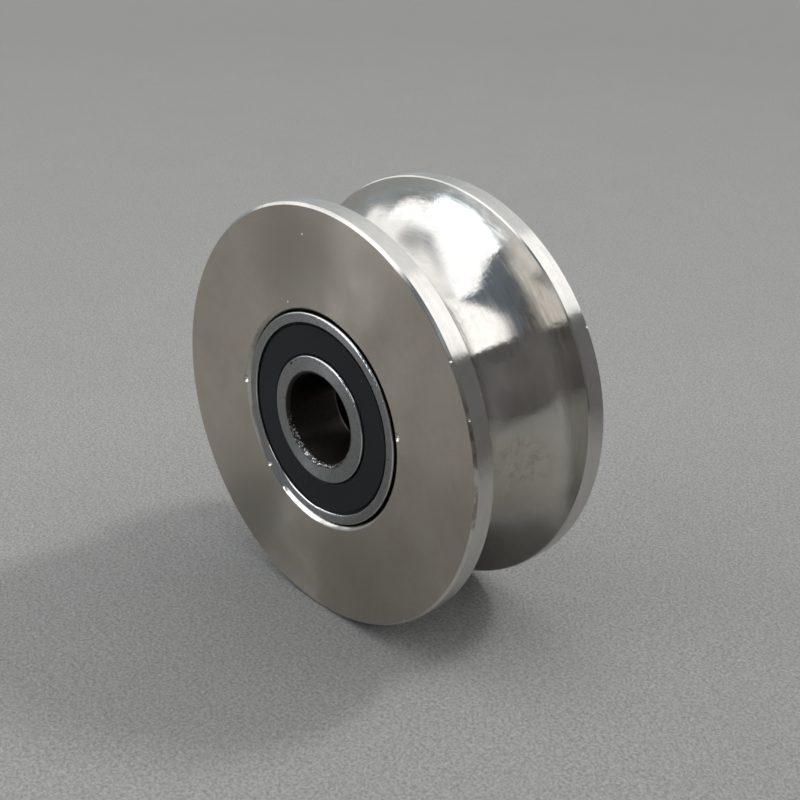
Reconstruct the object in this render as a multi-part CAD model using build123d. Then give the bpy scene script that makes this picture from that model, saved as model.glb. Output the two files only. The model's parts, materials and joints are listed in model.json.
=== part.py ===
from build123d import *
import math
import os

# Grooved pulley: a turned steel wheel with a round rope groove, running on two sealed ball bearings.
# Millimetres. The wheel turns about the Y axis, its front face looks towards -Y, and +Z is up.
# The origin is the middle of the wheel, halfway between its two faces.

# Wheel
rim_diameter = 79.0
rim_width = 32.6
land_width = 4.3
groove_depth = 11.5
rim_chamfer = 0.5
groove_edge_break = 0.25
seat_bevel = 1.1
seat_bevel_crown = 0.12
shoulder_height = 2.5

# Staking dents, punched beside the bearing seat to hold the bearing in
dent_radius = 0.9
dent_depth = 0.45
dent_from_seat = 1.25
dent_angles = (12.0, 177.0)

# Ball bearing
axle_bore = 17.0
bearing_diameter = 40.0
bearing_width = 12.0
ring_corner = 0.4
bore_corner = 0.9
seal_edge_round = 0.3
inner_race_depth = 1.13
outer_race_depth = 0.93
ball_diameter = 6.747
ball_count = 8
race_conformity = 0.52
race_clearance = 0.01

# Seal
seal_seat_wall = 1.9
seal_seat_depth = 1.45
snap_groove_depth = 0.35
snap_groove_start = 0.8
snap_groove_width = 0.55
seal_recess = 0.35
seal_thickness = 0.95
seal_clearance = 0.05
seal_rim_gap = 0.55
seal_rim_slope = 0.2
lip_height = 0.4
lip_reach = 1.2

# Ribbon cage
cage_sheet = 0.6
cage_band = 2.8
pocket_clearance = 0.08
rivet_diameter = 1.0
rivet_head_diameter = 1.9
rivet_head_height = 0.45

# Worked out from the sizes above
rim_radius = rim_diameter / 2
half_width = rim_width / 2
seat_radius = bearing_diameter / 2
bearing_half = bearing_width / 2
bearing_centre = half_width - bearing_half
bore_radius = axle_bore / 2
pitch_radius = (bore_radius + seat_radius) / 2
ball_radius = ball_diameter / 2
race_radius = ball_diameter * race_conformity
inner_race_floor = pitch_radius - ball_radius - race_clearance
outer_race_floor = pitch_radius + ball_radius + race_clearance
inner_land = inner_race_floor + inner_race_depth
outer_land = outer_race_floor - outer_race_depth
seal_seat_radius = seat_radius - seal_seat_wall
pocket_radius = ball_radius + pocket_clearance
ball_step = 360.0 / ball_count
ball_angles = [ball_step * (index + 0.5) for index in range(ball_count)]


def turned(half, *middle):
    """Turns a closed outline about the Y axis: one half of it, that half mirrored, and what joins the two."""
    outline = half + mirror(half, Plane.XZ)
    for line in middle:
        outline += line
    return revolve(make_face(outline), Axis.Y)


def on_circle(radius, angle, along):
    """The point at an angle round the Y axis, from +X towards +Z."""
    turn = math.radians(angle)
    return (radius * math.cos(turn), along, radius * math.sin(turn))


def arc_height(radius, offset):
    """Half the chord that a circle has at an offset from its centre."""
    return math.sqrt(radius**2 - offset**2)


def rounded_corner(wall, face, radius, outward):
    """Quarter circle from a ring's wall to its face. outward is 1 on its outside and -1 on its inside."""
    middle_wall = wall - outward * radius
    middle_along = face - radius
    reach = radius * math.sqrt(0.5)
    crown = (middle_wall + outward * reach, middle_along + reach)
    return ThreePointArc((wall, middle_along), crown, (middle_wall, face))


def staking_dents():
    """Round punch dents in both faces, beside the seat."""
    dents = []
    for side in (-1, 1):
        centre_along = side * (half_width + dent_radius - dent_depth)
        for angle in dent_angles:
            place = on_circle(seat_radius + dent_from_seat, angle, centre_along)
            dents.append(Pos(*place) * Rot(90, 0, 0) * Sphere(dent_radius))
    return dents


def pulley_body():
    """The wheel: flanges, round groove, bearing seats and the shoulder between them, turned from one bar."""
    mouth_half = half_width - land_width
    groove_radius = (mouth_half**2 + groove_depth**2) / (2 * groove_depth)
    groove_centre = rim_radius - groove_depth + groove_radius
    break_radius = rim_radius - groove_edge_break
    break_along = arc_height(groove_radius, groove_centre - break_radius)
    shoulder_radius = seat_radius - shoulder_height
    shoulder_half = half_width - bearing_width
    bevel_start = (seat_radius, half_width - seat_bevel)
    bevel_end = (seat_radius + seat_bevel, half_width)
    bevel_inset = seat_bevel / 2 - seat_bevel_crown * math.sqrt(0.5)
    bevel_crown = (seat_radius + bevel_inset, half_width - bevel_inset)
    half = Polyline((shoulder_radius, shoulder_half), (seat_radius, shoulder_half), bevel_start)
    half += ThreePointArc(bevel_start, bevel_crown, bevel_end)
    half += Polyline(
        bevel_end,
        (rim_radius - rim_chamfer, half_width),
        (rim_radius, half_width - rim_chamfer),
        (rim_radius, mouth_half + groove_edge_break),
        (break_radius, break_along),
    )
    shoulder = Line((shoulder_radius, -shoulder_half), (shoulder_radius, shoulder_half))
    groove_floor = (rim_radius - groove_depth, 0)
    groove = ThreePointArc((break_radius, -break_along), groove_floor, (break_radius, break_along))
    return turned(half, shoulder, groove) - staking_dents()


def outer_ring():
    """Outer bearing ring with rounded corners, its ball race and the grooves that the seals snap into."""
    race_centre = outer_race_floor - race_radius
    race_along = arc_height(race_radius, outer_land - race_centre)
    snap_radius = seal_seat_radius + snap_groove_depth
    snap_top = bearing_half - snap_groove_start
    snap_floor = snap_top - snap_groove_width
    seat_floor = bearing_half - seal_seat_depth
    face_outer = seat_radius - ring_corner
    face_inner = seal_seat_radius + seal_edge_round
    half = rounded_corner(seat_radius, bearing_half, ring_corner, 1)
    half += Line((face_outer, bearing_half), (face_inner, bearing_half))
    half += rounded_corner(seal_seat_radius, bearing_half, seal_edge_round, -1)
    half += Polyline(
        (seal_seat_radius, bearing_half - seal_edge_round),
        (seal_seat_radius, snap_top),
        (snap_radius, snap_top),
        (snap_radius, snap_floor),
        (seal_seat_radius, seat_floor),
        (outer_land, seat_floor),
        (outer_land, race_along),
    )
    outside = Line((seat_radius, ring_corner - bearing_half), (seat_radius, bearing_half - ring_corner))
    race = ThreePointArc((outer_land, -race_along), (outer_race_floor, 0), (outer_land, race_along))
    return turned(half, outside, race)


def inner_ring():
    """Inner bearing ring with rounded corners, the axle bore, its ball race and lands for the seal lips."""
    race_centre = inner_race_floor + race_radius
    race_along = arc_height(race_radius, race_centre - inner_land)
    face_inner = bore_radius + bore_corner
    face_outer = inner_land - seal_edge_round
    half = rounded_corner(bore_radius, bearing_half, bore_corner, -1)
    half += Line((face_inner, bearing_half), (face_outer, bearing_half))
    half += rounded_corner(inner_land, bearing_half, seal_edge_round, 1)
    half += Line((inner_land, bearing_half - seal_edge_round), (inner_land, race_along))
    bore = Line((bore_radius, bore_corner - bearing_half), (bore_radius, bearing_half - bore_corner))
    race = ThreePointArc((inner_land, -race_along), (inner_race_floor, 0), (inner_land, race_along))
    return turned(half, bore, race)


def seal():
    """Rubber seal on the +Y side: bead in the ring's groove, low rim, flat web, lip on the inner land."""
    lip_radius = inner_land + seal_clearance
    web_inner = lip_radius + lip_height
    seat = seal_seat_radius - seal_clearance
    bead = seat + snap_groove_depth
    face = bearing_half - seal_recess
    back = face - seal_thickness
    bead_top = bearing_half - snap_groove_start - seal_clearance
    bead_floor = bead_top - snap_groove_width + 2 * seal_clearance
    lip_top = face - lip_height
    lip_floor = face - lip_reach
    web_outer = seal_seat_radius - seal_rim_gap
    web_thin = seal_thickness / 2
    outline = Polyline(
        (lip_radius, lip_top),
        (web_inner, face),
        (web_outer, face),
        (web_outer + seal_rim_slope, bead_top),
        (bead, bead_top),
        (bead, bead_floor),
        (seat, back),
        (web_outer - web_thin, back),
        (web_outer - 2 * web_thin, back + web_thin),
        (web_inner + web_thin, back + web_thin),
        (web_inner, lip_floor),
        (lip_radius, lip_floor),
        close=True,
    )
    return revolve(make_face(outline), Axis.Y)


def band(depth):
    """Flat ring as wide as the cage, from the bearing's middle plane up to a depth along +Y."""
    inside = pitch_radius - cage_band / 2
    outside = pitch_radius + cage_band / 2
    outline = Polyline((inside, 0), (outside, 0), (outside, depth), (inside, depth), close=True)
    return revolve(make_face(outline), Axis.Y)


def round_at(angle, radius):
    """A round shape on the pitch circle, with its poles along Y."""
    return Pos(*on_circle(pitch_radius, angle, 0)) * Rot(90, 0, 0) * Sphere(radius)


def bar_at(angle, along, radius, length):
    """A round bar on the pitch circle, lying along Y, with its middle at a distance along Y."""
    return Pos(*on_circle(pitch_radius, angle, along)) * Rot(90, 0, 0) * Cylinder(radius, length)


def cage_half(side):
    """One half of the pressed ribbon cage: flat webs between round pockets that wrap the balls."""
    shell_radius = pocket_radius + cage_sheet
    cup = band(side * shell_radius)
    half = band(side * cage_sheet)
    for angle in ball_angles:
        half += cup & round_at(angle, shell_radius)
    for angle in ball_angles:
        half -= round_at(angle, pocket_radius)
        half -= bar_at(angle + ball_step / 2, 0, rivet_diameter / 2, 4 * cage_sheet)
    return half


def cage_rivets():
    """Rivets that clench the two cage halves, with a round head on each side of the webs."""
    rivets = []
    for angle in ball_angles:
        rivet_angle = angle + ball_step / 2
        rivet = bar_at(rivet_angle, 0, rivet_diameter / 2, 2 * cage_sheet)
        for side in (-1, 1):
            head_along = side * (cage_sheet + rivet_head_height / 2)
            rivet += bar_at(rivet_angle, head_along, rivet_head_diameter / 2, rivet_head_height)
        rivets.append(rivet)
    return Compound(children=rivets)


def bearing(end, direction):
    """Every piece of one bearing, by name. direction is -1 for the front bearing and 1 for the rear one."""
    place = Pos(0, direction * bearing_centre, 0)
    rear_seal = seal()
    front_seal = mirror(rear_seal, Plane.XZ)
    outside_seal, inside_seal = (front_seal, rear_seal) if direction < 0 else (rear_seal, front_seal)
    named = {
        "outer_ring": outer_ring(),
        "inner_ring": inner_ring(),
        "outside_seal": outside_seal,
        "inside_seal": inside_seal,
        "outside_cage_half": cage_half(direction),
        "inside_cage_half": cage_half(-direction),
        "cage_rivets": cage_rivets(),
    }
    for number, angle in enumerate(ball_angles, start=1):
        named[f"ball_{number}"] = round_at(angle, ball_radius)
    return {f"{end}_{name}": place * piece for name, piece in named.items()}


pieces = {"pulley_body": pulley_body()}
pieces.update(bearing("front", -1))
pieces.update(bearing("rear", 1))

os.makedirs("parts", exist_ok=True)
for name, piece in pieces.items():
    piece.label = name
    export_step(piece, f"parts/{name}.step")
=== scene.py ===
import json
import math
from collections import namedtuple

import bpy
from mathutils import Matrix, Vector


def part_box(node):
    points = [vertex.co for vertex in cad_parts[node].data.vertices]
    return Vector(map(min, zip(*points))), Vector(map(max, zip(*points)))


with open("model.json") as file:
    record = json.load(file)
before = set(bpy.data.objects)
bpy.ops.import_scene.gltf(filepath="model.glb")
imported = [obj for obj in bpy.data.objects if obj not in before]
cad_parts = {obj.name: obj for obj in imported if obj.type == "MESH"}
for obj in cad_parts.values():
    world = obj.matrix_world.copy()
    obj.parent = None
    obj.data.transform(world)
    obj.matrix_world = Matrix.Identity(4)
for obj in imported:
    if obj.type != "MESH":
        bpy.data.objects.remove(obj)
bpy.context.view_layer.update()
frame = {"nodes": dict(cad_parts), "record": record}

# A soft round mark on a surface: its middle, its size, the share of that size that is whole, and its strength
Mark = namedtuple("Mark", "place size core share", defaults=(0.5, 1.0))


def colour(red, green, blue):
    return (red, green, blue, 1.0)


def on_wheel(radius, angle, along):
    """A point in metres, from a radius and a place along the axle in millimetres and an angle in degrees."""
    turn = math.radians(angle)
    return radius * math.cos(turn) / 1000, along / 1000, radius * math.sin(turn) / 1000


# Sizes of the wheel, read from the frame, in metres
wheel_low, wheel_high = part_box("pulley_body")
RIM_RADIUS = wheel_high.x
HALF_WIDTH = wheel_high.y
FLOOR_HEIGHT = wheel_low.z
BEARING_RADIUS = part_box("front_outer_ring")[1].x

# Sizes of the surface zones, as in the part's source, in metres
LAND_WIDTH = 0.0043
GROOVE_EDGE = 0.00025
RIM_CHAMFER = 0.0005
SEAT_BEVEL = 0.0011
BORE_RADIUS = 0.0085
BORE_CORNER = 0.0009

# Width of the soft border between two zones, and the unit of bump heights, in metres
BORDER = 0.0001
MICRON = 0.000001

# Painted shade on the front face: darker patches where it reflects the shadowed floor and the dim room
FRONT = -HALF_WIDTH * 1000
FACE_SHADE_PATCHES = (
    Mark(on_wheel(31.0, 104.0, FRONT), size=0.017, core=0.1, share=0.42),
    Mark(on_wheel(32.0, -127.0, FRONT), size=0.020, core=0.1, share=0.55),
    Mark(on_wheel(30.0, -70.0, FRONT), size=0.027, core=0.1, share=0.30),
)

# Marks in the groove: a dull film beside the rear flange, a brown haze, and two worn spots with stains
GROOVE_FILM = Mark((0.0267, 0.0113, 0.0240), size=0.0095, core=0.3)
GROOVE_HAZE = Mark((0.0285, 0.0040, -0.0085), size=0.017, core=0.25)
WORN_SPOTS = (
    Mark((0.0292, 0.0062, -0.0040), size=0.0068),
    Mark((0.0284, 0.0036, 0.0052), size=0.0022),
)

# Dirt on the front flange's edge
EDGE_DIRT = Mark((0.0389, -0.0162, 0.0050), size=0.017, core=0.4)

# Small knocks in the wheel, most of them on its front edge: dents in the bump, each with a painted glint in a
# bright colour
KNOCKS_AND_GLINTS = (
    Mark(on_wheel(39.4, 113.0, -16.2), size=0.00035, core=0.2),
    Mark(on_wheel(34.3, 96.4, -16.3), size=0.00030, core=0.2),
    Mark(on_wheel(22.1, 111.2, -16.3), size=0.00028, core=0.2),
    Mark(on_wheel(39.3, 34.2, -16.2), size=0.00035, core=0.2),
    Mark(on_wheel(39.4, 19.9, -16.1), size=0.00030, core=0.2),
    Mark(on_wheel(20.8, -135.0, -16.2), size=0.00045, core=0.2),
    Mark(on_wheel(39.5, 31.0, 15.7), size=0.00040, core=0.2),
    Mark(on_wheel(39.5, -42.2, -13.9), size=0.00030, core=0.2),
    Mark(on_wheel(38.9, -52.0, -16.2), size=0.00040, core=0.2),
)

# Colours of the wheel
FACE_DARK = colour(0.52, 0.46, 0.39)
FACE_LIGHT = colour(0.62, 0.565, 0.50)
FACE_MOTTLE = colour(0.45, 0.40, 0.34)
FACE_RING = colour(0.42, 0.38, 0.33)
FACE_GRAIN = colour(0.40, 0.36, 0.32)
# Painted shade for the darker patches on the front face
FACE_PAINTED_SHADE = colour(0.25, 0.24, 0.215)
BARE_LIGHT = colour(0.66, 0.645, 0.615)
BARE_DARK = colour(0.62, 0.60, 0.565)
DULL = colour(0.33, 0.30, 0.265)
HAZE = colour(0.44, 0.37, 0.295)
STAIN = colour(0.30, 0.235, 0.17)
DIRT = colour(0.22, 0.13, 0.09)
RUST = colour(0.32, 0.25, 0.20)
# Painted glint on the knocks
PAINTED_KNOCK_GLINT = colour(0.86, 0.85, 0.83)

# Colours of the bearing rings and of their bore, with painted glints and painted shade in the bore, and
# painted shade for the dark gap round a bearing
FLAT_DARK = colour(0.25, 0.25, 0.255)
FLAT_LIGHT = colour(0.325, 0.325, 0.325)
RING_CORNER = colour(0.62, 0.62, 0.62)
PIT = colour(0.05, 0.045, 0.04)
BORE_GREASE = colour(0.04, 0.036, 0.034)
# Painted glint for the bore's turned corner
PAINTED_BORE_GLINT = colour(0.66, 0.65, 0.63)
# Painted shade for the bore wall, in a darker and a lighter tone
BORE_SHADE_DARK = colour(0.06, 0.052, 0.047)
BORE_SHADE_LIGHT = colour(0.16, 0.14, 0.125)
# Painted shade for the dark gap round a bearing
PAINTED_GAP_SHADE = colour(0.02, 0.018, 0.016)

# Camera
CAMERA_AIM = Vector((0.00228, 0.00197, -0.00063))
CAMERA_DISTANCE = 0.23886
CAMERA_AZIMUTH = 46.324
CAMERA_ELEVATION = 24.710
CAMERA_ROLL = 1.385
CAMERA_LENS = 57.10
SENSOR_WIDTH = 36.0

# Light: radiance of the lamps and of the room between them
LEFT_LAMP = colour(1.68, 1.70, 1.73)
LOW_LAMP = colour(6.2, 6.8, 7.5)
RIGHT_LAMP = colour(1.6, 1.6, 1.6)
RIGHT_LAMP_TOP = colour(1.8, 1.8, 1.8)
BACK_LAMP = colour(1.3, 1.3, 1.3)
BACK_LAMP_EDGE = colour(0.6, 0.61, 0.62)
REAR_ROOM = colour(0.42, 0.46, 0.48)
FRONT_ROOM = colour(0.10, 0.10, 0.10)
CAMERA_SIDE_ROOM = colour(0.11, 0.11, 0.11)
LAMP_GAP = colour(0.15, 0.18, 0.215)
HORIZON = colour(0.34, 0.39, 0.41)

# Light: the border that the left lamp and the low lamp share, and the low lamp's slats
SHARED_BORDER = {"slope": 0.47, "offset": 0.38}
SLAT_STEP = 0.17
SLAT_MEAN = 0.8
SLAT_SWING = 0.5

# Light: a level direction towards the middle of the room's dark side
CAMERA_SIDE = Vector((0.991, -0.13))

# Light: the soft lamp that makes the floor's shadow
KEY_STRENGTH = 1.1
KEY_ANGLE = 9.0
KEY_PLACE = (0.28, 0.80, 1.0)

# Floor and card, in metres and degrees
FLOOR_REACH = 4.0
CARD_DISTANCE = 0.27
CARD_HEIGHT = 0.135
CARD_MIDDLE = 82.0
CARD_SWEEP = 64.0
CARD_STEPS = 32


def direction(azimuth, elevation):
    """Unit vector from an azimuth, counted from -Y towards +X, and an elevation, both in degrees."""
    turn = math.radians(azimuth)
    rise = math.radians(elevation)
    return Vector((math.sin(turn) * math.cos(rise), -math.cos(turn) * math.cos(rise), math.sin(rise)))


def make_camera():
    """The photograph's view: from the right of the front face and a little above it."""
    camera = bpy.data.objects.new("camera", bpy.data.cameras.new("camera"))
    bpy.context.scene.collection.objects.link(camera)
    back = direction(CAMERA_AZIMUTH, CAMERA_ELEVATION)
    look = (-back).to_track_quat("-Z", "Y").to_matrix().to_4x4()
    roll = Matrix.Rotation(math.radians(CAMERA_ROLL), 4, "Z")
    camera.matrix_world = Matrix.Translation(CAMERA_AIM + back * CAMERA_DISTANCE) @ look @ roll
    camera.data.lens = CAMERA_LENS
    camera.data.sensor_width = SENSOR_WIDTH
    camera.data.sensor_fit = "HORIZONTAL"
    camera.data.clip_start = 0.01
    camera.data.clip_end = 20.0
    bpy.context.scene.camera = camera


class Graph:
    """Shader nodes, made one by one with short calls."""

    def __init__(self, tree):
        self.tree = tree

    def node(self, kind, inputs=(), **settings):
        """A node of a kind, with its settings, and its inputs given as values or as sockets to link."""
        made = self.tree.nodes.new(kind)
        for name, value in settings.items():
            setattr(made, name, value)
        for key, value in dict(inputs).items():
            self.put(made.inputs[key], value)
        return made

    def put(self, socket, value):
        """Links a socket to another one, or sets its value."""
        if isinstance(value, bpy.types.NodeSocket):
            self.tree.links.new(value, socket)
        else:
            socket.default_value = value

    def math(self, operation, *values):
        return self.node("ShaderNodeMath", enumerate(values), operation=operation).outputs[0]

    def product(self, *values):
        total = values[0]
        for value in values[1:]:
            total = self.math("MULTIPLY", total, value)
        return total

    def hypotenuse(self, first, second):
        squares = self.math("ADD", self.math("MULTIPLY", first, first), self.math("MULTIPLY", second, second))
        return self.math("SQRT", squares)

    def line(self, value, slope, offset):
        """slope times a value, plus an offset."""
        return self.math("MULTIPLY_ADD", value, slope, offset)

    def noise(self, place, scale, detail=2.0, roughness=0.5):
        inputs = {"Vector": place, "Scale": scale, "Detail": detail, "Roughness": roughness}
        return self.node("ShaderNodeTexNoise", inputs).outputs["Fac"]

    def distance(self, place, point):
        """How far a place is from a point."""
        return self.node("ShaderNodeVectorMath", {0: place, 1: point}, operation="DISTANCE").outputs["Value"]

    def span(self, value, low, high, to_low=0.0, to_high=1.0, soft=False):
        """Maps a value from one span to another, held at both ends."""
        inputs = {"Value": value, "From Min": low, "From Max": high, "To Min": to_low, "To Max": to_high}
        kind = "SMOOTHSTEP" if soft else "LINEAR"
        return self.node("ShaderNodeMapRange", inputs, interpolation_type=kind).outputs[0]

    def falling(self, value, low, high):
        """1 up to the low limit, 0 from the high limit on."""
        return self.span(value, low, high, 1.0, 0.0)

    def above(self, value, limit, width):
        """1 where a value is above a limit and 0 where it is below, with a soft edge of a width."""
        return self.span(self.math("SUBTRACT", value, limit), -width / 2, width / 2, soft=True)

    def below(self, value, limit, width):
        """1 where a value is below a limit and 0 where it is above, with a soft edge of a width."""
        return self.span(self.math("SUBTRACT", limit, value), -width / 2, width / 2, soft=True)

    def mix(self, share, first, second, kind="RGBA"):
        """A colour between two colours, or a number between two numbers with kind FLOAT."""
        made = self.node("ShaderNodeMix", data_type=kind)
        self.put(made.inputs["Factor"], share)
        self.put(made.inputs["A"], first)
        self.put(made.inputs["B"], second)
        return made.outputs["Result"]

    def blend(self, share, first, second):
        """A number between two numbers."""
        return self.mix(share, first, second, kind="FLOAT")

    def bump(self, height, distance, normal=None):
        inputs = {"Height": height, "Distance": distance}
        if normal is not None:
            inputs["Normal"] = normal
        return self.node("ShaderNodeBump", inputs).outputs[0]


class Finish(Graph):
    """A material of one shader, with the places on a turned piece that its masks are made from."""

    def __init__(self, name):
        self.material = bpy.data.materials.new(name)
        self.material.use_nodes = True
        super().__init__(self.material.node_tree)
        self.shader = self.tree.nodes["Principled BSDF"]
        self.place = self.node("ShaderNodeTexCoord").outputs["Object"]
        x, self.along, self.height = self.node("ShaderNodeSeparateXYZ", {0: self.place}).outputs
        self.radius = self.hypotenuse(x, self.height)
        self.depth = self.math("SUBTRACT", HALF_WIDTH, self.math("ABSOLUTE", self.along))

    def surface(self, **inputs):
        """Sets the shader's own inputs, by their names with underscores."""
        for name, value in inputs.items():
            self.put(self.shader.inputs[name.replace("_", " ")], value)
        return self.material

    def turned(self, amount):
        """Marks that run round the Y axis, as a lathe leaves them."""
        tangent = self.node("ShaderNodeTangent", direction_type="RADIAL", axis="Y").outputs[0]
        self.surface(Anisotropic=amount, Anisotropic_Rotation=0.25, Tangent=tangent)

    def streaks(self, across, along, detail, roughness):
        """A noise that is finer across the turning marks than along them."""
        scales = {0: self.place, 1: (along, across, along)}
        stretched = self.node("ShaderNodeVectorMath", scales, operation="MULTIPLY").outputs[0]
        return self.noise(stretched, 1.0, detail, roughness)

    def mark(self, mark):
        """1 in the middle of a mark, fading to 0 at its size."""
        away = self.distance(self.place, mark.place)
        return self.span(away, mark.size * mark.core, mark.size, 1.0, 0.0, soft=True)

    def marks(self, marks):
        """The strongest of several marks."""
        strongest = 0.0
        for mark in marks:
            strongest = self.math("MAXIMUM", self.mark(mark), strongest)
        return strongest


class WheelFinish(Finish):
    """Turned steel: satin faces with patches of painted shade, a polished groove with wear and stains, fine
    turned rims, small knocks with painted glints, and painted shade at the seat's inner end.
    """

    def __init__(self):
        super().__init__("wheel_steel")
        inward = self.math("SUBTRACT", RIM_RADIUS, self.radius)
        chamfer_start = RIM_RADIUS - RIM_CHAMFER
        seat_edge = BEARING_RADIUS + SEAT_BEVEL
        self.on_face = self.falling(self.depth, 20 * MICRON, 80 * MICRON)
        self.off_face = self.falling(self.on_face, 0.0, 1.0)
        self.in_seat = self.falling(self.radius, seat_edge - BORDER, seat_edge)
        self.in_groove = self.product(
            self.span(self.depth, LAND_WIDTH - BORDER, LAND_WIDTH + 2 * BORDER),
            self.span(inward, GROOVE_EDGE / 2, GROOVE_EDGE),
        )
        self.on_edge = self.product(
            self.span(self.radius, chamfer_start - BORDER, chamfer_start + BORDER),
            self.span(self.depth, RIM_CHAMFER + BORDER, RIM_CHAMFER - BORDER),
        )
        self.blotch = self.noise(self.place, scale=85.0, detail=5.0, roughness=0.62)
        self.mottle = self.noise(self.place, scale=480.0, detail=4.0, roughness=0.6)
        self.frost = self.noise(self.place, scale=1200.0, detail=3.0, roughness=0.6)
        self.grain = self.noise(self.place, scale=3200.0)
        self.rings = self.streaks(across=1500.0, along=110.0, detail=5.0, roughness=0.7)
        self.scratches = self.streaks(across=6500.0, along=170.0, detail=2.0, roughness=0.6)
        self.face_rings = self.node(
            "ShaderNodeTexNoise",
            {"W": self.math("MULTIPLY", self.radius, 3800.0), "Scale": 1.0, "Detail": 3.0},
            noise_dimensions="1D",
        ).outputs["Fac"]
        self.knocks_and_glints = self.marks(KNOCKS_AND_GLINTS)

    def face_tone(self):
        """Colour of the satin faces: warm, blotchy, with faint turning rings and patches of painted shade."""
        tone = self.mix(self.span(self.blotch, 0.36, 0.64), FACE_DARK, FACE_LIGHT)
        tone = self.mix(self.span(self.mottle, 0.5, 0.8, 0.0, 0.35), tone, FACE_MOTTLE)
        tone = self.mix(self.span(self.face_rings, 0.3, 0.7, 0.0, 0.20), tone, FACE_RING)
        tone = self.mix(self.span(self.grain, 0.35, 0.65, 0.0, 0.22), tone, FACE_GRAIN)
        # Painted shade: darker patches where the front face reflects the shadowed floor and the dim room
        for film in FACE_SHADE_PATCHES:
            share = self.span(self.blotch, 0.2, 0.6, 0.6 * film.share, film.share)
            tone = self.mix(self.product(self.mark(film), share), tone, FACE_PAINTED_SHADE)
        return tone

    def bare_tone(self):
        """Colour of the groove and the rims, with the groove's film, haze and stains."""
        tone = self.mix(self.span(self.mottle, 0.35, 0.7), BARE_LIGHT, BARE_DARK)
        film_streaks = self.span(self.rings, 0.3, 0.7, 0.35, 0.7)
        tone = self.mix(self.product(self.in_groove, self.mark(GROOVE_FILM), film_streaks), tone, DULL)
        haze_streaks = self.span(self.rings, 0.3, 0.7, 0.3, 0.6)
        tone = self.mix(self.product(self.in_groove, self.mark(GROOVE_HAZE), haze_streaks), tone, HAZE)
        cloud = self.noise(self.place, scale=700.0, detail=5.0, roughness=0.7)
        stain = self.product(self.in_groove, self.marks(WORN_SPOTS), self.span(cloud, 0.48, 0.68, 0.0, 0.55))
        return self.mix(stain, tone, STAIN)

    def tone(self):
        """Colour of the whole wheel, with dirt, rust in the seat's bevel, painted shade at its inner end, and
        painted glints on the knocks.
        """
        tone = self.mix(self.on_face, self.bare_tone(), self.face_tone())
        specks = self.noise(self.place, scale=240.0, detail=3.0, roughness=0.6)
        dirt = self.product(self.on_edge, self.mark(EDGE_DIRT), self.span(specks, 0.42, 0.54, 0.0, 0.7))
        tone = self.mix(dirt, tone, DIRT)
        rust = self.product(self.in_seat, self.span(self.blotch, 0.52, 0.62, 0.0, 0.5))
        tone = self.mix(rust, tone, RUST)
        # Painted shade: the seat's bevel is painted near black at its inner end, in the gap beside the
        # bearing
        seat_end_shade = self.product(self.in_seat, self.span(self.depth, 0.0006, 0.0009, 0.0, 0.94))
        tone = self.mix(seat_end_shade, tone, PAINTED_GAP_SHADE)
        # Painted glints: the knocks are painted a bright colour
        return self.mix(self.knocks_and_glints, tone, PAINTED_KNOCK_GLINT)

    def roughness(self):
        """Smoothest in the groove, with duller scratches; the rims and the faces are duller."""
        groove = self.span(self.rings, 0.3, 0.7, 0.06, 0.14)
        groove = self.math("ADD", groove, self.span(self.mottle, 0.5, 0.75, 0.0, 0.07))
        groove = self.math("ADD", groove, self.span(self.scratches, 0.45, 0.7, 0.0, 0.09))
        rim = self.span(self.rings, 0.3, 0.7, 0.18, 0.28)
        face = self.span(self.blotch, 0.35, 0.65, 0.17, 0.21)
        face = self.math("ADD", face, self.span(self.grain, 0.3, 0.7, 0.0, 0.02))
        rough = self.blend(self.in_groove, rim, groove)
        rough = self.blend(self.in_seat, rough, 0.16)
        return self.blend(self.on_face, rough, face)

    def normal(self):
        """Turning marks, scratches, frost, knocks and grain. The faces have only very low ones."""
        normal = self.bump(self.product(self.rings, self.off_face), 14 * MICRON)
        normal = self.bump(self.product(self.scratches, self.off_face), 6 * MICRON, normal)
        normal = self.bump(self.product(self.frost, self.in_groove), 12 * MICRON, normal)
        normal = self.bump(self.knocks_and_glints, -150 * MICRON, normal)
        normal = self.bump(self.product(self.mottle, self.off_face), 10 * MICRON, normal)
        normal = self.bump(self.product(self.grain, self.off_face), 1.6 * MICRON, normal)
        normal = self.bump(self.product(self.face_rings, self.on_face), 1.4 * MICRON, normal)
        return self.bump(self.product(self.mottle, self.on_face), 2.5 * MICRON, normal)


def wheel_steel():
    finish = WheelFinish()
    finish.turned(1.0)
    return finish.surface(
        Base_Color=finish.tone(),
        Metallic=1.0,
        Roughness=finish.roughness(),
        Normal=finish.normal(),
    )


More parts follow.
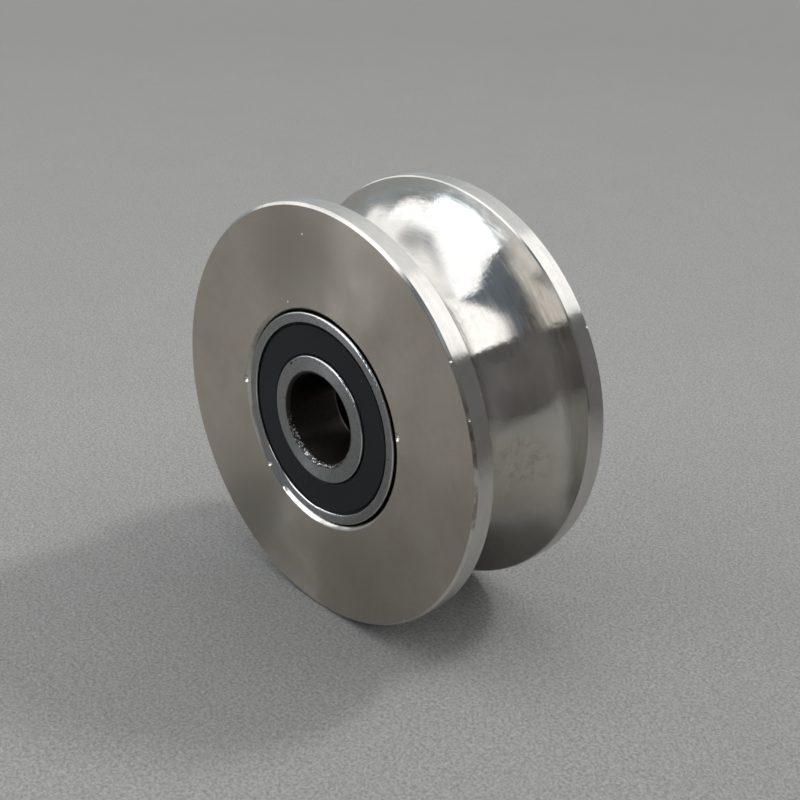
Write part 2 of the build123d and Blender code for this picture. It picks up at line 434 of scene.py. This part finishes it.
def ring_steel():
    """Ground bearing rings with small pits; the bore's turned corner is dark and greasy with painted glints
    on its lower side, the bore wall beyond it is painted dark as shade, and the outer ring's outside wall is
    painted shade.
    """
    finish = Finish("ring_steel")
    grain = finish.noise(finish.place, scale=1500.0, detail=3.0, roughness=0.6)
    coarse = finish.noise(finish.place, scale=2600.0, detail=3.0, roughness=0.7)
    pits = finish.span(finish.noise(finish.place, scale=900.0), 0.69, 0.75)
    in_bore = finish.falling(finish.radius, BORE_RADIUS + BORE_CORNER * 0.7, BORE_RADIUS + BORE_CORNER * 0.95)
    deep = finish.product(in_bore, finish.span(finish.depth, BORE_CORNER * 0.8, BORE_CORNER))
    corner = finish.math("SUBTRACT", in_bore, deep)
    outside = finish.product(
        finish.span(finish.radius, BEARING_RADIUS - 2 * BORDER, BEARING_RADIUS - BORDER),
        finish.span(finish.depth, 1.5 * BORDER, 3 * BORDER),
    )
    on_flat = finish.falling(finish.depth, 10 * MICRON, 60 * MICRON)
    low_side = finish.falling(finish.height, -0.0045, -0.001)
    painted_glint = finish.product(finish.span(coarse, 0.52, 0.62), low_side)

    tone = finish.mix(finish.span(grain, 0.3, 0.7), FLAT_DARK, FLAT_LIGHT)
    tone = finish.mix(on_flat, RING_CORNER, tone)
    tone = finish.mix(finish.math("MULTIPLY", pits, 0.85), tone, PIT)
    # The turned corner is dark and greasy, with painted glints only on its lower side
    tone = finish.mix(in_bore, tone, finish.mix(painted_glint, BORE_GREASE, PAINTED_BORE_GLINT))
    # Painted shade: the bore wall beyond the corner is painted dark
    tone = finish.mix(deep, tone, finish.mix(grain, BORE_SHADE_DARK, BORE_SHADE_LIGHT))
    # Painted shade: the outer ring's outside wall, in the narrow gap inside the wheel, is painted near black
    tone = finish.mix(outside, tone, PAINTED_GAP_SHADE)
    rough = finish.blend(on_flat, 0.16, finish.span(grain, 0.3, 0.7, 0.28, 0.38))
    rough = finish.blend(finish.math("MAXIMUM", in_bore, outside), rough, 0.32)
    normal = finish.bump(pits, -20 * MICRON)
    normal = finish.bump(grain, 2 * MICRON, normal)
    normal = finish.bump(finish.product(coarse, corner), 60 * MICRON, normal)
    finish.turned(0.8)
    return finish.surface(Base_Color=tone, Metallic=1.0, Roughness=rough, Normal=normal)


def seal_rubber():
    """Satin blue-black rubber with a fine moulded grain and a little dust."""
    finish = Finish("seal_rubber")
    grain = finish.noise(finish.place, scale=2600.0, detail=3.0, roughness=0.6)
    cloud = finish.noise(finish.place, scale=220.0, detail=3.0)
    dust = finish.span(finish.noise(finish.place, scale=1700.0, detail=1.0, roughness=0.4), 0.74, 0.78)
    tone = finish.mix(cloud, colour(0.008, 0.0095, 0.0115), colour(0.015, 0.0175, 0.020))
    return finish.surface(
        Base_Color=finish.mix(finish.math("MULTIPLY", dust, 0.25), tone, colour(0.25, 0.25, 0.24)),
        Roughness=finish.span(cloud, 0.3, 0.7, 0.42, 0.56),
        Specular_IOR_Level=0.2,
        Normal=finish.bump(grain, 12 * MICRON),
    )


def cage_steel():
    """Pressed sheet with a faint grain."""
    finish = Finish("cage_steel")
    grain = finish.noise(finish.place, scale=900.0, detail=3.0, roughness=0.6)
    return finish.surface(
        Base_Color=finish.mix(grain, colour(0.42, 0.41, 0.39), colour(0.56, 0.55, 0.53)),
        Metallic=1.0,
        Roughness=finish.span(grain, 0.3, 0.7, 0.26, 0.42),
        Normal=finish.bump(grain, 10 * MICRON),
    )


def ball_steel():
    """Polished balls with a film of grease."""
    finish = Finish("ball_steel")
    film = finish.noise(finish.place, scale=700.0, detail=3.0, roughness=0.6)
    return finish.surface(
        Base_Color=finish.mix(film, colour(0.66, 0.66, 0.67), colour(0.74, 0.74, 0.75)),
        Metallic=1.0,
        Roughness=finish.span(film, 0.3, 0.7, 0.05, 0.12),
        Normal=finish.bump(film, 2 * MICRON),
    )


def stage_piece(name, vertices, faces, material):
    mesh = bpy.data.meshes.new(name)
    mesh.from_pydata(vertices, [], faces)
    mesh.materials.append(material)
    piece = bpy.data.objects.new(name, mesh)
    bpy.context.scene.collection.objects.link(piece)
    return piece


def make_floor():
    """A pale floor under the wheel, with a fine grain and painted shade that darkens it away from the wheel.
    """
    finish = Finish("floor")
    grain = finish.noise(finish.place, scale=1700.0, detail=4.0, roughness=0.8)
    cloud = finish.noise(finish.place, scale=40.0, detail=4.0, roughness=0.6)
    # Painted shade: the floor is painted darker further from the wheel, mixed in below
    away = finish.span(finish.distance(finish.place, (0.0, 0.0, 0.0)), 0.1, 0.7, 0.0, 0.55)
    tone = finish.mix(finish.span(grain, 0.36, 0.64), colour(0.18, 0.18, 0.173), colour(0.345, 0.345, 0.331))
    tone = finish.mix(finish.span(cloud, 0.3, 0.7, 0.0, 0.16), tone, colour(0.20, 0.20, 0.19))
    tone = finish.mix(away, tone, colour(0.18, 0.17, 0.16))
    normal = finish.bump(grain, 60 * MICRON)
    finish.surface(Base_Color=tone, Roughness=0.75, Specular_IOR_Level=0.2, Normal=normal)
    signs = ((-1, -1), (1, -1), (1, 1), (-1, 1))
    corners = [(x * FLOOR_REACH, y * FLOOR_REACH, FLOOR_HEIGHT) for x, y in signs]
    stage_piece("floor", corners, [(0, 1, 2, 3)], finish.material)


def make_card():
    """A dark card round the camera's side, unseen by the camera, that gives the polished steel depth."""
    finish = Finish("dark_card")
    cloud = finish.span(finish.noise(finish.place, scale=9.0), 0.3, 0.7)
    tone = finish.mix(cloud, colour(0.16, 0.15, 0.145), colour(0.27, 0.255, 0.25))
    finish.surface(Base_Color=tone, Roughness=0.8, Specular_IOR_Level=0.2)
    vertices = []
    for index in range(CARD_STEPS + 1):
        turn = CARD_MIDDLE - CARD_SWEEP + 2 * CARD_SWEEP * index / CARD_STEPS
        foot = direction(turn, 0.0) * CARD_DISTANCE
        vertices += [(foot.x, foot.y, FLOOR_HEIGHT), (foot.x, foot.y, CARD_HEIGHT)]
    faces = [(2 * k, 2 * k + 2, 2 * k + 3, 2 * k + 1) for k in range(CARD_STEPS)]
    card = stage_piece("dark_card", vertices, faces, finish.material)
    card.visible_camera = False


class Room(Graph):
    """Studio light: large soft lamps overhead, a slatted one low in front, and a plain room between them.

    A direction is given as u and v, the place where it meets a level plane one unit above the wheel.
    u runs towards +X and v towards +Y.
    """

    def __init__(self, tree):
        super().__init__(tree)
        way = self.node("ShaderNodeTexCoord").outputs["Generated"]
        self.x, self.y, self.z = self.node("ShaderNodeSeparateXYZ", {0: way}).outputs
        up = self.math("MAXIMUM", self.z, 0.02)
        self.u = self.math("DIVIDE", self.x, up)
        self.v = self.math("DIVIDE", self.y, up)

    def left_lamp(self):
        front_right = self.line(self.v, slope=-0.06, offset=0.27)
        rear_right = self.line(self.v, slope=-0.28, offset=0.36)
        rear = self.line(self.u, slope=0.95, offset=0.33)
        return self.product(
            self.below(self.u, self.math("MINIMUM", front_right, rear_right), width=0.07),
            self.below(self.u, self.line(self.v, **SHARED_BORDER), width=0.08),
            self.below(self.v, self.math("MAXIMUM", rear, -0.34), width=0.4),
            self.below(self.v, 0.95, width=0.2),
            self.above(self.u, self.line(self.v, slope=0.45, offset=-2.17), width=0.15),
            self.above(self.v, -2.4, width=0.5),
        )

    def low_lamp(self):
        border = self.math("SUBTRACT", self.line(self.v, **SHARED_BORDER), self.u)
        wave = self.math("COSINE", self.math("MULTIPLY", border, 2 * math.pi / SLAT_STEP))
        slats = self.product(wave, SLAT_SWING, self.below(border, 1.3, width=0.3))
        return self.product(
            self.above(self.u, self.line(self.v, slope=0.83, offset=-0.2), width=0.6),
            self.above(border, 0.0, width=0.02),
            self.below(self.v, -2.1, width=0.3),
            self.above(self.v, -5.5, width=0.6),
            self.math("ADD", slats, SLAT_MEAN),
        )

    def right_lamp(self):
        return self.product(
            self.above(self.u, self.line(self.v, slope=-0.456, offset=0.438), width=0.1),
            self.below(self.u, 1.27, width=0.05),
            self.above(self.v, -0.75, width=0.8),
            self.below(self.v, 2.0, width=0.3),
        )

    def back_lamp(self):
        return self.product(
            self.above(self.v, self.line(self.u, slope=0.45, offset=0.3), width=0.6),
            self.below(self.u, 0.1, width=0.3),
            self.below(self.v, 1.0, width=0.3),
            self.above(self.z, 0.16, width=0.1),
        )

    def back_tone(self):
        """The back lamp is dimmer round one place at its edge."""
        away = self.hypotenuse(self.math("ADD", self.u, 1.0), self.math("SUBTRACT", self.v, 0.15))
        return self.mix(self.above(away, 0.35, width=0.5), BACK_LAMP_EDGE, BACK_LAMP)

    def camera_side(self):
        across = self.line(self.x, CAMERA_SIDE.x, self.math("MULTIPLY", self.y, CAMERA_SIDE.y))
        level = self.math("MAXIMUM", self.hypotenuse(self.x, self.y), 0.001)
        side = self.math("DIVIDE", across, level)
        return self.product(self.above(side, 0.35, width=0.7), self.above(self.z, 0.12, width=0.1))

    def lamp_gap(self):
        """The dim strip in front, between the left lamp and the right one."""
        return self.product(
            self.above(self.u, -0.6, width=0.8),
            self.below(self.u, 1.15, width=0.4),
            self.below(self.v, 0.3, width=0.6),
            self.span(self.v, -3.5, -1.8),
        )

    def tone(self):
        to_rear = self.above(self.y, self.line(self.x, slope=0.9, offset=0.2), width=0.4)
        right_tone = self.mix(self.above(self.v, 0.9, width=0.2), RIGHT_LAMP, RIGHT_LAMP_TOP)
        tone = self.mix(to_rear, FRONT_ROOM, REAR_ROOM)
        tone = self.mix(self.camera_side(), tone, CAMERA_SIDE_ROOM)
        tone = self.mix(self.lamp_gap(), tone, LAMP_GAP)
        tone = self.mix(self.below(self.z, 0.16, width=0.1), tone, HORIZON)
        tone = self.mix(self.back_lamp(), tone, self.back_tone())
        tone = self.mix(self.left_lamp(), tone, LEFT_LAMP)
        tone = self.mix(self.low_lamp(), tone, LOW_LAMP)
        return self.mix(self.right_lamp(), tone, right_tone)


def make_world():
    world = bpy.data.worlds.new("studio")
    bpy.context.scene.world = world
    world.use_nodes = True
    room = Room(world.node_tree)
    room.put(world.node_tree.nodes["Background"].inputs[0], room.tone())


def make_key_lamp():
    """A soft lamp high behind the wheel, which makes the floor's shadow and which reflections leave out."""
    data = bpy.data.lights.new("key", "SUN")
    data.energy = KEY_STRENGTH
    data.angle = math.radians(KEY_ANGLE)
    lamp = bpy.data.objects.new("key", data)
    bpy.context.scene.collection.objects.link(lamp)
    lamp.rotation_euler = Vector(KEY_PLACE).to_track_quat("Z", "Y").to_euler()
    lamp.visible_glossy = False


def dress(materials):
    """Gives every CAD node the material of its slot."""
    slots = {part["node"]: part["material_slot"] for part in frame["record"]["subparts"]}
    for name, piece in frame["nodes"].items():
        for index in range(len(piece.material_slots)):
            piece.material_slots[index].material = materials[slots[name]]


make_camera()
make_floor()
make_card()
make_world()
make_key_lamp()
dress({
    "wheel_steel": wheel_steel(),
    "ring_steel": ring_steel(),
    "seal_rubber": seal_rubber(),
    "cage_steel": cage_steel(),
    "ball_steel": ball_steel(),
})
bpy.context.scene.view_settings.view_transform = "Standard"
